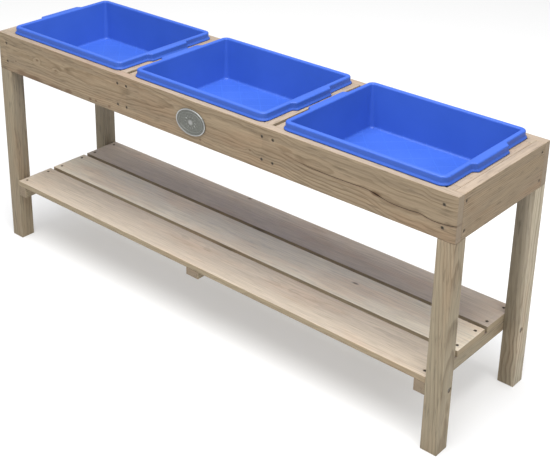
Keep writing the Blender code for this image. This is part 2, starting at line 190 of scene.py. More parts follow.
def add(tree, kind, inputs=None, **settings):
    """Add a shader node; an input is a value or the socket that feeds it."""
    node = tree.nodes.new("ShaderNode" + kind)
    for key, value in settings.items():
        setattr(node, key, value)
    for key, value in (inputs or {}).items():
        if isinstance(value, bpy.types.NodeSocket):
            tree.links.new(value, node.inputs[key])
        else:
            node.inputs[key].default_value = value
    return node


def maths(tree, operation, *values):
    return add(tree, "Math", dict(enumerate(values)), operation=operation).outputs[0]


def smooth_step(tree, value, low, high, to_low=0.0, to_high=1.0):
    inputs = {"Value": value, "From Min": low, "From Max": high, "To Min": to_low, "To Max": to_high}
    return add(tree, "MapRange", inputs, interpolation_type="SMOOTHSTEP").outputs["Result"]


def noise(tree, vector, scale, detail=2.0, roughness=0.5, seed=0.0):
    inputs = {"Vector": vector, "W": seed, "Scale": scale, "Detail": detail, "Roughness": roughness}
    return add(tree, "TexNoise", inputs, noise_dimensions="4D")


def mix(tree, factor, first, second, blend="MIX"):
    node = add(tree, "Mix", data_type="RGBA", blend_type=blend)
    for key, value in ((0, factor), (6, first), (7, second)):
        if isinstance(value, bpy.types.NodeSocket):
            tree.links.new(value, node.inputs[key])
        elif key == 0:
            node.inputs[key].default_value = value
        else:
            node.inputs[key].default_value = (*value, 1.0)
    return node.outputs[2]


def stretched(tree, axes, factors):
    """The position along, across and through the grain, each scaled."""
    scaled = [maths(tree, "MULTIPLY", axis, factor) for axis, factor in zip(axes, factors)]
    return add(tree, "CombineXYZ", {"X": scaled[0], "Y": scaled[1], "Z": scaled[2]}).outputs[0]


# ---------------------------------------------------------------- timber


def ellipse_reach(tree, along, through, place, height, stretch, wobble):
    """Distance from a spot on a board's face, shortened along the grain and made uneven."""
    flat = maths(tree, "MULTIPLY", maths(tree, "SUBTRACT", along, place), 1.0 / stretch)
    up = maths(tree, "SUBTRACT", through, height)
    square = maths(tree, "ADD", maths(tree, "MULTIPLY", flat, flat), maths(tree, "MULTIPLY", up, up))
    return maths(tree, "ADD", maths(tree, "SQRT", square), wobble)


def crack_height(tree, along):
    """The height of the drying crack at each place along the front rail."""
    share = range_share(tree, along, CRACK[0][0], CRACK[-1][0])
    curve = add(tree, "FloatCurve", {"Value": share})
    points = curve.mapping.curves[0].points
    span = CRACK[-1][0] - CRACK[0][0]
    heights = [(x - CRACK[0][0], (z - CRACK_LOW) / CRACK_RISE) for x, z in CRACK]
    points[0].location = (0.0, heights[0][1])
    points[-1].location = (1.0, heights[-1][1])
    for reach, height in heights[1:-1]:
        points.new(reach / span, height)
    curve.mapping.update()
    return maths(tree, "MULTIPLY_ADD", curve.outputs[0], CRACK_RISE, CRACK_LOW)


def range_share(tree, value, low, high):
    inputs = {"Value": value, "From Min": low, "From Max": high}
    return add(tree, "MapRange", inputs).outputs["Result"]


def timber(name, grain, seed, pith, early, late, top, ring=0.0052, waviness=0.022, curl=0.002, tilt=0.0,
           contrast=1.0, knots=(), stains=(), end=None, painted_lit_band=None, cracked=False, flecks=0.27):
    """Sawn softwood: growth rings about a wavering pith line, with fibres, blotches and knots, and upward
    faces painted lighter as painted light from above.

    Grain is the axis that the board runs along. Pith is the heart's offset from the origin in the two
    other axes, in metres, and tilt leans it. A knot is a place along the grain, a place on the last axis
    and a radius; a stain also has its stretch along the grain and its strength. Flecks is the strength of
    the short dark dashes. The painted lit band is the range of distances from the
    pith, along the second axis, over which the wood is painted paler, standing in for light.
    """
    material, tree, shader = new_material(name)
    position = add(tree, "TexCoord").outputs["Object"]
    split = add(tree, "SeparateXYZ", {0: position})
    order = {"X": "XYZ", "Y": "YXZ", "Z": "ZXY"}[grain]
    axes = [split.outputs[axis] for axis in order]
    along, across, through = axes

    warp = noise(tree, stretched(tree, axes, (1.5, 6.0, 6.0)), 1.0, 3.0, 0.5, seed)
    ripple = noise(tree, stretched(tree, axes, (13.0, 24.0, 24.0)), 1.0, 2.0, 0.5, seed + 5)
    shifted = []
    for index, (axis, heart_place) in enumerate(zip((across, through), pith)):
        broad = add(tree, "SeparateColor", {0: warp.outputs["Color"]}).outputs[index]
        short = add(tree, "SeparateColor", {0: ripple.outputs["Color"]}).outputs[index]
        shift = maths(tree, "MULTIPLY_ADD", maths(tree, "SUBTRACT", broad, 0.5), waviness,
                      maths(tree, "MULTIPLY", maths(tree, "SUBTRACT", short, 0.5), curl * 2))
        shifted.append(maths(tree, "ADD", maths(tree, "SUBTRACT", axis, heart_place), shift))
    sideways, upright = shifted
    sideways = maths(tree, "MULTIPLY_ADD", along, tilt, sideways)
    if cracked:
        line = crack_height(tree, along)
        follow = maths(tree, "SUBTRACT", line, CRACK_LOW)
        upright = maths(tree, "MULTIPLY_ADD", follow, -0.9, upright)
    radius = maths(tree, "SQRT", maths(tree, "ADD", maths(tree, "MULTIPLY", sideways, sideways),
                                       maths(tree, "MULTIPLY", upright, upright)))
    fine = noise(tree, stretched(tree, axes, (9.0, 50.0, 50.0)), 1.0, 2.0, 0.5, seed + 3).outputs[0]
    wobble = maths(tree, "MULTIPLY_ADD", fine, 0.004, -0.002)
    uneven = add(tree, "CombineXYZ", {"X": maths(tree, "MULTIPLY", radius, 60.0)}).outputs[0]
    years = noise(tree, uneven, 1.0, 2.0, 0.6, seed + 9).outputs[0]
    radius = maths(tree, "MULTIPLY_ADD", years, ring * 1.6, maths(tree, "MULTIPLY_ADD", fine, 0.0026, radius))

    heart = None
    for place, height, size in knots:
        reach = ellipse_reach(tree, along, through, place, height, 1.8, wobble)
        pull = smooth_step(tree, reach, 0.0, size * 3.6, 1.0, 0.0)
        radius = maths(tree, "MULTIPLY_ADD", pull, size * 1.5, radius)
        core = smooth_step(tree, reach, size * 0.35, size * 0.95, 1.0, 0.0)
        heart = core if heart is None else maths(tree, "MAXIMUM", heart, core)

    phase = maths(tree, "FRACT", maths(tree, "DIVIDE", radius, ring))
    ramp = add(tree, "ValToRGB", {0: phase})
    for position_on_ramp, grey in ((0.5, 0.25), (0.84, 1.0), (0.93, 0.7)):
        element = ramp.color_ramp.elements.new(position_on_ramp)
        element.color = (grey, grey, grey, 1)
    ramp.color_ramp.elements[0].color = (0.12, 0.12, 0.12, 1)
    ramp.color_ramp.elements[-1].color = (0.12, 0.12, 0.12, 1)
    patch = noise(tree, stretched(tree, axes, (2.6, 20.0, 20.0)), 1.0, 3.0, 0.55, seed + 7).outputs[0]
    strength = smooth_step(tree, patch, 0.3, 0.7, 0.2 * contrast, contrast)
    late_share = maths(tree, "MULTIPLY", ramp.outputs[0], strength)

    fibre = noise(tree, stretched(tree, axes, (16.0, 420.0, 420.0)), 1.0, 4.0, 0.65, seed + 11).outputs[0]
    dash = noise(tree, stretched(tree, axes, (26.0, 190.0, 190.0)), 1.0, 2.0, 0.5, seed + 13).outputs[0]
    blotch = noise(tree, stretched(tree, axes, (4.0, 16.0, 16.0)), 1.0, 4.0, 0.6, seed + 17).outputs[0]

    normal = add(tree, "SeparateXYZ", {0: add(tree, "NewGeometry").outputs["True Normal"]})
    # Painted light: faces turned upwards get the lighter top colour, standing in for the light from above on
    # the same wood
    painted_top_light = smooth_step(tree, normal.outputs["Z"], 0.6, 0.9)
    color = mix(tree, painted_top_light, early, top)
    dark = mix(tree, painted_top_light, late, [channel * 0.74 for channel in top])
    # Painted light: a band across the board, on the back right leg its right side, is painted paler as if
    # more light falls there
    if painted_lit_band:
        lit_band_share = smooth_step(tree, sideways, *painted_lit_band)
        color = mix(tree, maths(tree, "MULTIPLY", lit_band_share, 0.75), color, PAINTED_LIT_SIDE)
    color = mix(tree, late_share, color, dark)
    ruddy = smooth_step(tree, blotch, 0.46, 0.70, 0.0, 0.6)
    color = mix(tree, ruddy, color, (1.0, 0.87, 0.80), "MULTIPLY")
    shade = maths(tree, "ADD", smooth_step(tree, fibre, 0.2, 0.8, -0.15, 0.17),
                  smooth_step(tree, patch, 0.2, 0.8, 0.93, 1.07))
    shade = maths(tree, "ADD", shade, smooth_step(tree, dash, 0.28, 0.46, -flecks, 0.0))
    grey = add(tree, "CombineColor", {0: shade, 1: shade, 2: shade}).outputs[0]
    color = mix(tree, 1.0, color, grey, "MULTIPLY")
    facing = maths(tree, "ABSOLUTE", normal.outputs[grain])
    end_grain = smooth_step(tree, facing, 0.8, 0.95, 0.0, 0.6)
    color = mix(tree, end_grain, color, end or [channel * 0.86 for channel in late])
    for place, height, size, stretch, depth in stains:
        reach = ellipse_reach(tree, along, through, place, height, stretch, wobble)
        spot = smooth_step(tree, reach, size * 0.3, size * 1.1, depth, 0.0)
        color = mix(tree, spot, color, STAIN)
    if heart is not None:
        color = mix(tree, maths(tree, "MULTIPLY", heart, 0.75), color, KNOT)
    if cracked:
        color = crack_shade(tree, split, line, color)
    tree.links.new(color, shader.inputs["Base Color"])

    rough = maths(tree, "ADD", smooth_step(tree, fibre, 0.2, 0.8, 0.10, -0.06), 0.68)
    tree.links.new(rough, shader.inputs["Roughness"])
    shader.inputs["Specular IOR Level"].default_value = 0.28
    relief = maths(tree, "MULTIPLY_ADD", late_share, 0.5, maths(tree, "MULTIPLY", fibre, 0.8))
    bump = add(tree, "Bump", {"Height": relief, "Strength": 0.5, "Distance": 0.0005})
    tree.links.new(bump.outputs[0], shader.inputs["Normal"])
    return material


def crack_shade(tree, split, line, color):
    """Painted shade inside the crack, and a faint darkening along its lips."""
    x, y, z = split.outputs
    off_line = maths(tree, "ABSOLUTE", maths(tree, "SUBTRACT", z, line))
    begins = smooth_step(tree, x, CRACK[0][0], CRACK[0][0] + 0.02)
    lips = maths(tree, "MULTIPLY", smooth_step(tree, off_line, 0.0006, 0.0045, 0.34, 0.0), begins)
    color = mix(tree, lips, color, STAIN)
    # Painted shade: the crack's inside is darkened almost to black where its own shade falls
    depth = smooth_step(tree, y, FRONT_Y + 0.0002, FRONT_Y + 0.0010, 0.0, 0.93)
    near = smooth_step(tree, off_line, 0.0030, 0.0045, 1.0, 0.0)
    inside = maths(tree, "MULTIPLY", maths(tree, "MULTIPLY", depth, near), begins)
    ends = maths(tree, "LESS_THAN", x, RAIL_END)
    return mix(tree, maths(tree, "MULTIPLY", inside, ends), color, CRACK_PAINTED_SHADE)


OLIVE = (0.288, 0.222, 0.146)
OLIVE_LATE = (0.150, 0.104, 0.060)
# Upward faces of the boards, legs and battens: the same pine painted lighter, a painted light from above
LIT_TOP_PAINT = (0.310, 0.247, 0.190)
LEG = (0.335, 0.282, 0.196)
LEG_LATE = (0.195, 0.150, 0.094)
PLANK_SIDE = (0.33, 0.265, 0.175)
END_GREY = (0.28, 0.225, 0.165)
LEG_END = (0.275, 0.22, 0.168)
# Painted light: the paler colour for the lit right side of the back right leg
PAINTED_LIT_SIDE = (0.56, 0.49, 0.37)
STAIN = (0.120, 0.064, 0.032)
KNOT = (0.12, 0.072, 0.04)
# Painted shade for the inside of the crack
CRACK_PAINTED_SHADE = (0.035, 0.022, 0.014)
BATTEN_END = (0.20, 0.148, 0.102)

END_BOARDS = (
    "end_board_left", "end_board_right", "inner_end_board_left", "inner_end_board_right",
    "divider_board_left_inner", "divider_board_left_outer",
    "divider_board_right_inner", "divider_board_right_outer",
)
LEGS = ("leg_front_left", "leg_front_right", "leg_back_left", "leg_back_right")
# Each leg's overall tone; the back right leg's lower tone is painted shade
LEG_TONES_AND_SHADE = (0.86, 0.95, 0.86, 0.78)
# Each leg's pith, measured across from its left side and its front face
LEG_PITHS = ((-0.030, 0.060), (-0.022, 0.024), (0.055, -0.020), (-0.012, 0.055))
LEG_TILTS = (0.02, 0.05, -0.03, 0.02)
LEG_RINGS = (0.0056, 0.0072, 0.0056, 0.0056)
LEG_CONTRASTS = (0.8, 1.15, 0.8, 0.8)
PLANKS = ("shelf_plank_front", "shelf_plank_middle", "shelf_plank_back")
# Each plank's upward face, painted lighter as painted light from above; each plank's brightness is also set
# apart to make up for the different light on it
PLANK_TOP_PAINTED_LIGHT = ((0.57, 0.480, 0.372), (0.84, 0.740, 0.570), (0.585, 0.490, 0.390))
PLANK_CURLS = (0.007, 0.002, 0.003)
PLANK_CONTRASTS = (0.8, 0.45, 0.9)
BATTENS = ("shelf_batten_left", "shelf_batten_middle", "shelf_batten_right")
FRONT_KNOTS = ((-0.545, 0.557, 0.0035), (-0.472, 0.547, 0.003), (-0.634, 0.532, 0.003),
               (0.030, 0.512, 0.003), (0.179, 0.533, 0.003))
# Places along the grain and across it, radii, stretches and strengths
FRONT_STAINS = ((-0.612, 0.507, 0.009, 3.0, 0.55), (-0.560, 0.503, 0.010, 4.5, 0.6),
                (-0.480, 0.502, 0.008, 5.0, 0.55), (-0.425, 0.505, 0.008, 2.5, 0.6),
                (-0.344, 0.507, 0.004, 1.6, 0.75), (-0.323, 0.508, 0.003, 1.5, 0.7),
                (-0.274, 0.507, 0.004, 1.6, 0.6), (0.513, 0.5415, 0.006, 2.6, 0.8))
BACK_KNOTS = ((-0.25, 0.53, 0.005), (0.41, 0.57, 0.004))


def board_materials():
    """A timber of its own for every board, so that no two share their figure."""
    made = {
        "front_rail": timber("front rail pine", "X", 1.7, (FRONT_Y + 0.055, FRAME_TOP - 0.085), OLIVE,
                             OLIVE_LATE, LIT_TOP_PAINT, 0.0046, 0.046, 0.0045, 0.0, 0.85, FRONT_KNOTS, FRONT_STAINS,
                             END_GREY, None, True),
        "back_rail": timber("back rail pine", "X", 6.1, (0.09, FRAME_TOP - 0.03), OLIVE, OLIVE_LATE, LIT_TOP_PAINT,
                            0.0050, 0.034, 0.003, 0.0, 0.8, BACK_KNOTS, (), END_GREY),
    }
    for index, node in enumerate(END_BOARDS):
        made[node] = timber(f"{node} pine", "Y", 11.3 + 2.9 * index, (0.64 + 0.03 * index, FRAME_TOP - 0.16),
                            OLIVE, OLIVE_LATE, LIT_TOP_PAINT, 0.0042, 0.040, 0.004, 0.0, 0.7, (), (), END_GREY)
    for index, node in enumerate(LEGS):
        low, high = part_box(node)
        across, inward = LEG_PITHS[index]
        tone = LEG_TONES_AND_SHADE[index]
        # Painted light: the back right leg's right side is painted paler
        painted_lit_band = (0.030, 0.058) if node == "leg_back_right" else None
        made[node] = timber(f"{node} pine", "Z", 41.9 + 3.7 * index, (low.x + across, low.y + inward),
                            [channel * tone for channel in LEG], [channel * tone for channel in LEG_LATE],
                            LIT_TOP_PAINT, LEG_RINGS[index], 0.034, 0.004, LEG_TILTS[index],
                            LEG_CONTRASTS[index], (), (), LEG_END, painted_lit_band)
    plank_spots = {
        # On a plank the last axis is its thickness, so its spots are spread across that axis
        "shelf_plank_middle": ((0.339, 0.017, 0.004, 2.6, 0.75),),
        "shelf_plank_back": ((-0.125, 0.172, 0.005, 1.5, 0.7),),
    }
    for index, node in enumerate(PLANKS):
        low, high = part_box(node)
        pith = ((low.y + high.y) / 2 + (0.02, -0.03, 0.04)[index], high.z - (0.045, 0.07, 0.035)[index])
        made[node] = timber(f"{node} pine", "X", 61.3 + 5.3 * index, pith, PLANK_SIDE,
                            [channel * 0.7 for channel in PLANK_SIDE], PLANK_TOP_PAINTED_LIGHT[index], 0.0040, 0.030,
                            PLANK_CURLS[index], 0.0, PLANK_CONTRASTS[index], (), (), PLANK_SIDE,
                            flecks=0.10)
        add_top_spots(made[node], plank_spots.get(node, ()))
    for index, node in enumerate(BATTENS):
        low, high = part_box(node)
        pith = ((low.x + high.x) / 2 + 0.012, low.z - 0.012)
        made[node] = timber(f"{node} pine", "Y", 81.1 + 4.3 * index, pith, LEG, LEG_LATE, LIT_TOP_PAINT,
                            0.0052, 0.010, 0.001, 0.0, 1.0, (), (), BATTEN_END)
    return made


def add_top_spots(material, spots):
    """Small dark knots on a plank's upper face."""
    tree = material.node_tree
    shader = tree.nodes["Principled BSDF"]
    x, y = add(tree, "SeparateXYZ", {0: add(tree, "TexCoord").outputs["Object"]}).outputs[:2]
    for place, row, size, stretch, depth in spots:
        color = shader.inputs["Base Color"].links[0].from_socket
        reach = ellipse_reach(tree, x, y, place, row, stretch, 0.0)
        spot = smooth_step(tree, reach, size * 0.2, size * 1.3, depth, 0.0)
        tree.links.new(mix(tree, spot, color, STAIN), shader.inputs["Base Color"])


# The long drying crack in the front rail: places along X and heights
CRACK = (
    (0.264, 0.556), (0.324, 0.547), (0.394, 0.544), (0.456, 0.5445), (0.486, 0.5455), (0.513, 0.5415),
    (0.546, 0.535), (0.589, 0.534), (0.617, 0.536), (0.645, 0.531), (0.681, 0.533), (0.702, 0.537),
)
# Short of the rail's right end, so that its end grain stays clean
RAIL_END = 0.6995
CRACK_LOW = 0.50
CRACK_RISE = 0.09
CRACK_WIDTH = 0.0017
CRACK_DEPTH = 0.005
SLIT_PLACE = 0.513
SLIT_WIDTH = 0.0046
SLIT_LENGTH = 0.009


def soft_board(node):
    """The board's own solid with its sharp edges eased."""
    bm = bmesh.new()
    bm.from_mesh(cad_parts[node].data)
    bmesh.ops.remove_doubles(bm, verts=bm.verts, dist=1e-6)
    bmesh.ops.dissolve_limit(bm, angle_limit=math.radians(1), verts=bm.verts, edges=bm.edges)
    edges = [edge for edge in bm.edges if edge.calc_face_angle(0) > math.radians(30)]
    bmesh.ops.bevel(bm, geom=edges, offset=BOARD_EDGE, segments=2, profile=0.5, affect="EDGES",
                    clamp_overlap=True)
    piece = new_object(f"{node}_timber", bm, 32)
    return piece


def crack_cutter():
    """A thin wedge along the crack, open at the board's face."""
    bm = bmesh.new()
    rings = []
    points = smooth_path(CRACK, 6)
    for step, (x, z) in enumerate(points):
        taper = min(1.0, step / 10, (len(points) - 1 - step + 8) / 10)
        slit = math.exp(-((x - SLIT_PLACE) / SLIT_LENGTH) ** 2)
        half = 0.5 * (CRACK_WIDTH * (0.35 + 0.65 * taper) + slit * (SLIT_WIDTH - CRACK_WIDTH))
        front = FRONT_Y - 0.001
        back = FRONT_Y + CRACK_DEPTH * (0.4 + 0.6 * taper)
        ring = [
            (x, front, z - half), (x, front, z + half),
            (x, back, z + 0.1 * half), (x, back, z - 0.1 * half),
        ]
        rings.append([bm.verts.new(corner) for corner in ring])
    loft(bm, rings)
    bmesh.ops.recalc_face_normals(bm, faces=bm.faces)
    return new_object("crack_cutter", bm)


def smooth_path(points, steps):
    """A Catmull-Rom curve through the points."""
    path = []
    last = len(points) - 1
    for index in range(last):
        around = [min(max(near, 0), last) for near in range(index - 1, index + 3)]
        before, start, end, after = (Vector(points[near]) for near in around)
        for step in range(steps):
            t = step / steps
            linear = (end - before) * t
            square = (2 * before - 5 * start + 4 * end - after) * t * t
            cubic = (3 * start - before - 3 * end + after) * t ** 3
            path.append(0.5 * (2 * start + linear + square + cubic))
    path.append(Vector(points[-1]))
    return path


def loft(bm, rings):
    """Faces between rings of equal length, with both ends closed."""
    count = len(rings[0])
    for lower, upper in zip(rings, rings[1:]):
        for step in range(count):
            after = (step + 1) % count
            bm.faces.new((lower[step], lower[after], upper[after], upper[step]))
    bm.faces.new(rings[0])
    bm.faces.new(rings[-1])


def cut(piece, cutter):
    """Cut one mesh out of another for good."""
    modifier = piece.modifiers.new("cut", "BOOLEAN")
    modifier.operation = "DIFFERENCE"
    modifier.solver = "EXACT"
    modifier.object = cutter
    bpy.context.view_layer.update()
    graph = bpy.context.evaluated_depsgraph_get()
    mesh = bpy.data.meshes.new_from_object(piece.evaluated_get(graph))
    piece.modifiers.clear()
    piece.data = mesh
    bpy.data.objects.remove(cutter)


def make_boards():
    for node, material in board_materials().items():
        piece = soft_board(node)
        if node == "front_rail":
            cut(piece, crack_cutter())
        piece.data.materials.clear()
        piece.data.materials.append(material)
        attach(piece, TABLE)
        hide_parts(node)


# ---------------------------------------------------------------- tubs


BLUE = (0.032, 0.094, 0.43)
BLUE_CLOUD = (0.038, 0.106, 0.47)
BLUE_LINE = (0.065, 0.190, 0.75)


def tub_plastic():
    """Satin moulded plastic with a fine grain, and diamond lines on the floor as a bump and a paler blue."""
    material, tree, shader = new_material("moulded blue plastic")
    position = add(tree, "TexCoord").outputs["Object"]
    cloud = noise(tree, position, 9.0, 3.0, 0.5, 2.0).outputs[0]
    color = mix(tree, smooth_step(tree, cloud, 0.25, 0.75), BLUE, BLUE_CLOUD)
    grain = noise(tree, position, 900.0, 2.0, 0.6, 5.0).outputs[0]
    rough = maths(tree, "MULTIPLY_ADD", cloud, 0.10, 0.38)
    tree.links.new(rough, shader.inputs["Roughness"])
    shader.inputs["Specular IOR Level"].default_value = 0.32

    split = add(tree, "SeparateXYZ", {0: position})
    lines = None
    for sign in (1, -1):
        slanted = maths(tree, "MULTIPLY_ADD", split.outputs["X"], sign, split.outputs["Y"])
        wave = maths(tree, "ABSOLUTE", maths(tree, "SINE", maths(tree, "MULTIPLY", slanted, 50.0)))
        line = smooth_step(tree, wave, 0.0, 0.10, 1.0, 0.0)
        lines = line if lines is None else maths(tree, "MAXIMUM", lines, line)
    floor_height = FRAME_TOP - 0.08
    on_floor = smooth_step(tree, split.outputs["Z"], floor_height, floor_height + 0.002, 1.0, 0.0)
    lines = maths(tree, "MULTIPLY", lines, on_floor)
    worn = maths(tree, "MULTIPLY", lines, 0.2)
    tree.links.new(mix(tree, worn, color, BLUE_LINE), shader.inputs["Base Color"])
    relief = maths(tree, "MULTIPLY_ADD", lines, 0.7, maths(tree, "MULTIPLY", grain, 0.06))
    bump = add(tree, "Bump", {"Height": relief, "Strength": 0.6, "Distance": 0.0008})
    tree.links.new(bump.outputs[0], shader.inputs["Normal"])
    return material


def quarter(start, steps=4):
    """Angles from start to a quarter turn on."""
    return [start + math.pi / 2 * step / steps for step in range(steps + 1)]


def tub_outline(half, corner, reach):
    """A rounded rectangle, anticlockwise, whose short sides swell to a handle with S-shaped ends."""
    points = []
    handle = []
    for step in range(9):
        share = step / 8
        y = HANDLE_HALF_LENGTH + HANDLE_END_LENGTH * (1 - share)
        handle.append((half.x + reach * share * share * (3 - 2 * share), y))
    handle = [(x, -y) for x, y in handle] + [(x, y) for x, y in reversed(handle)]
    points += handle
    for turn, (sx, sy) in enumerate(((1, 1), (-1, 1), (-1, -1), (1, -1))):
        for angle in quarter(math.pi / 2 * turn, 7):
            points.append((sx * (half.x - corner) + corner * math.cos(angle),
                           sy * (half.y - corner) + corner * math.sin(angle)))
        if turn == 1:
            points += [(-x, -y) for x, y in handle]
    return points


def tub_levels(rim, top, bottom):
    """Outline and height of each level of a tub, from its floor up, over the rim and back underneath."""
    inset = Vector((1, 1))
    mouth = rim - RIM_WIDTH * inset
    foot = mouth - TUB_DRAFT * inset
    floor = top - TUB_DEPTH
    levels = []
    for angle in quarter(0):
        offset = FLOOR_FILLET * (math.sin(angle) - 1)
        height = floor + FLOOR_FILLET * (1 - math.cos(angle))
        levels.append((foot + offset * inset, TUB_INNER_CORNER + FLOOR_FILLET + offset, 0, height))
    for angle in quarter(0):
        offset = RIM_ROUNDING * (1 - math.cos(angle))
        height = top - RIM_ROUNDING * (1 - math.sin(angle))
        levels.append((mouth + offset * inset, TUB_INNER_CORNER + offset, 0, height))
    for angle in quarter(0):
        offset = RIM_ROUNDING * (math.sin(angle) - 1) - SKIRT_FLARE
        height = top - RIM_ROUNDING * (1 - math.cos(angle))
        levels.append((rim + offset * inset, TUB_CORNER + offset, HANDLE_REACH, height))
    lip = bottom + SKIRT_LIP
    for offset, height in ((-0.0036, lip + 0.0040), (-0.0030, lip + 0.0022), (-0.0008, lip)):
        levels.append((rim + offset * inset, TUB_CORNER + offset, HANDLE_REACH, height))
    for angle in quarter(0, 3):
        offset = -SKIRT_ROUNDING * (1 - math.cos(angle))
        height = bottom + SKIRT_ROUNDING * (1 - math.sin(angle))
        levels.append((rim + offset * inset, TUB_CORNER + offset, HANDLE_REACH, height))
    under = (
        (rim, -SKIRT_WALL, TUB_CORNER, HANDLE_REACH, bottom + 0.0004),
        (rim, -SKIRT_FLARE - SKIRT_WALL, TUB_CORNER, HANDLE_REACH, top - RIM_ROUNDING),
        (rim, -SKIRT_FLARE - RIM_ROUNDING, TUB_CORNER, HANDLE_REACH, top - TUB_WALL),
        (mouth, RIM_ROUNDING, TUB_INNER_CORNER, 0, top - TUB_WALL),
        (mouth, TUB_WALL, TUB_INNER_CORNER, 0, top - RIM_ROUNDING),
        (foot, TUB_WALL, TUB_INNER_CORNER, 0, floor + 0.6 * FLOOR_FILLET),
        (foot, 0.2 * TUB_WALL, TUB_INNER_CORNER + FLOOR_FILLET, 0, floor - 0.2 * TUB_WALL),
        (foot, -0.4 * FLOOR_FILLET, TUB_INNER_CORNER + FLOOR_FILLET, 0, floor - TUB_WALL),
    )
    for half, offset, corner, reach, height in under:
        levels.append((half + offset * inset, corner + offset, reach, height))
    return levels


def make_tubs():
    plastic = tub_plastic()
    for which in ("left", "middle", "right"):
        low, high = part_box(f"tub_{which}")
        centre = (low + high) / 2
        rim = Vector(((high.x - low.x) / 2 - HANDLE_REACH, (high.y - low.y) / 2))
        bm = bmesh.new()
        rings = []
        for half, corner, reach, height in tub_levels(rim, high.z, FRAME_TOP + TOUCH_GAP):
            outline = tub_outline(half, corner, reach)
            rings.append([bm.verts.new((centre.x + x, centre.y + y, height)) for x, y in outline])
        loft(bm, rings)
        bmesh.ops.recalc_face_normals(bm, faces=bm.faces)
        piece = new_object(f"moulded_tub_{which}", bm, 50)
        piece.data.materials.append(plastic)
        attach(piece, f"tub_{which}")
        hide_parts(f"tub_{which}")


# ---------------------------------------------------------------- fasteners


def steel(name, color, roughness):
    """Dulled plated steel with darker patches."""
    material, tree, shader = new_material(name)
    position = add(tree, "TexCoord").outputs["Object"]
    stain = noise(tree, position, 420.0, 3.0, 0.6, 1.0).outputs[0]
    tone = mix(tree, smooth_step(tree, stain, 0.3, 0.7), [channel * 0.55 for channel in color], color)
    tree.links.new(tone, shader.inputs["Base Color"])
    shader.inputs["Metallic"].default_value = 0.9
    tree.links.new(maths(tree, "MULTIPLY_ADD", stain, 0.25, roughness), shader.inputs["Roughness"])
    bump = add(tree, "Bump", {"Height": stain, "Strength": 0.3, "Distance": 0.0001})
    tree.links.new(bump.outputs[0], shader.inputs["Normal"])
    return material


def turned(bm, profile, sides, shapes=()):
    """Rings from a profile of (radius, height). shapes holds a radius function for some rings."""
    rings = []
    shapes = dict(shapes)
    for index, (radius, height) in enumerate(profile):
        ring = []
        for step in range(sides):
            angle = 2 * math.pi * step / sides
            reach = radius * shapes.get(index, lambda turn: 1.0)(angle)
            ring.append(bm.verts.new((reach * math.cos(angle), reach * math.sin(angle), height)))
        rings.append(ring)
    loft(bm, rings)
    bmesh.ops.recalc_face_normals(bm, faces=bm.faces)


def cross_shape(angle):
    """A cross recess with rounded arms."""
    return 0.62 + 0.38 * math.cos(4 * angle) ** 2 * (1 if math.cos(4 * angle) > 0 else 0.2)


def hexagon_shape(angle):
    """A hexagon with flats."""
    return math.cos(math.pi / 6) / math.cos((angle % (math.pi / 3)) - math.pi / 6)


def screw_bmesh(length):
    """A countersunk screw pointing down -Z, its head's top at height 0."""
    bm = bmesh.new()
    profile = [
        (0.0008, -RECESS_DEPTH), (0.0017, -RECESS_DEPTH * 0.85), (0.0024, 0),
        (SCREW_HEAD_RADIUS - 0.0003, 0), (SCREW_HEAD_RADIUS - 0.00008, -0.00008),
        (SCREW_HEAD_RADIUS, -0.0003),
        (SCREW_SHANK_RADIUS, -SCREW_CONE), (SCREW_SHANK_RADIUS, -length + 0.006),
        (SCREW_SHANK_RADIUS * 0.8, -length + 0.004), (0.0003, -length),
    ]
    turned(bm, profile, 32, {0: cross_shape, 1: cross_shape, 2: cross_shape})
    return bm


def bolt_bmesh(length):
    """A socket-head bolt pointing down -Z, its head's top at height 0."""
    bm = bmesh.new()
    under = -BOLT_HEAD_HEIGHT
    profile = [
        (0.0006, -0.0026), (BOLT_SOCKET_RADIUS, -0.0024), (BOLT_SOCKET_RADIUS, -0.0003),
        (BOLT_SOCKET_RADIUS + 0.0003, 0), (BOLT_HEAD_RADIUS - 0.0008, 0),
        (BOLT_HEAD_RADIUS - 0.0002, -0.0002),
        (BOLT_HEAD_RADIUS, -0.0008), (BOLT_HEAD_RADIUS, under), (BOLT_SHANK_RADIUS, under),
        (BOLT_SHANK_RADIUS, -length + 0.001), (BOLT_SHANK_RADIUS - 0.001, -length),
    ]
    turned(bm, profile, 36, {0: hexagon_shape, 1: hexagon_shape, 2: hexagon_shape})
    return bm


def dome_bmesh():
    """A low pan head with a cross recess, standing on height 0."""
    bm = bmesh.new()
    top = BATTEN_SCREW_HEIGHT
    profile = [
        (0.0006, top - 0.0012), (0.0021, top - 0.0001), (0.0026, top - 0.00005),
        (BATTEN_SCREW_RADIUS * 0.88, top * 0.72), (BATTEN_SCREW_RADIUS, top * 0.3), (BATTEN_SCREW_RADIUS, 0),
        (0.0005, -0.0001),
    ]
    turned(bm, profile, 32, {0: cross_shape, 1: cross_shape})
    return bm


def place_fastener(name, mesh, head, direction, material, node=None):
    piece = bpy.data.objects.new(name, mesh)
    bpy.context.scene.collection.objects.link(piece)
    turn = (-Vector(direction)).to_track_quat("Z", "Y").to_matrix().to_4x4()
    piece.matrix_world = Matrix.Translation(head) @ turn
    if not mesh.materials:
        mesh.materials.append(material)
    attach(piece, TABLE)
    if node:
        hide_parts(node)


def fastener_direction(node):
    """The way a CAD fastener points, from its name."""
    if "plank" in node:
        return Vector((0, 0, -1))
    if node.startswith("front_rail"):
        return Vector((0, 1, 0))
    return Vector((1, 0, 0)) if "left" in node else Vector((-1, 0, 0))


